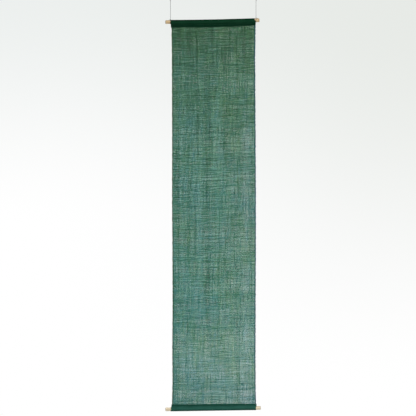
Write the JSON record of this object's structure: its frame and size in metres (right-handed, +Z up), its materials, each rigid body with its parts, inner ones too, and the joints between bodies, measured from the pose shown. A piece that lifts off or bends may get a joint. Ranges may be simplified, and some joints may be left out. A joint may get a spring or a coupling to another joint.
{
  "type": "ramie cloth wall hanging on wooden dowels",
  "caption": "Long narrow panel of semi-sheer green ramie between dense headings, each folded round a plain wooden dowel, hung by strings from the upper dowel.",
  "frame": {"origin": "midway between the two string loops, level with the point where each loop bears on its hook", "axes": "+Z up, +X to the right of a viewer who faces the front, +Y into the wall, so the front faces -Y"},
  "size_m": [0.391, 0.0182, 1.721],
  "materials": {
    "ramie_cloth": "semi-sheer plain weave of uneven slubby yarns, grey green, denser and darker at both selvedges",
    "heading_cloth": "dense matt cloth, deep green",
    "dowel_wood": "pale bare wood, sanded, fine straight grain",
    "string": "thin twisted grey string"
  },
  "bodies": {
    "root": {"cloth_panel": "ramie_cloth", "top_heading": "heading_cloth", "bottom_heading": "heading_cloth", "top_dowel": "dowel_wood", "bottom_dowel": "dowel_wood", "left_string": "string", "left_string_loop": "string", "left_string_wrap": "string", "right_string": "string", "right_string_loop": "string", "right_string_wrap": "string"}
  },
  "joints": []
}
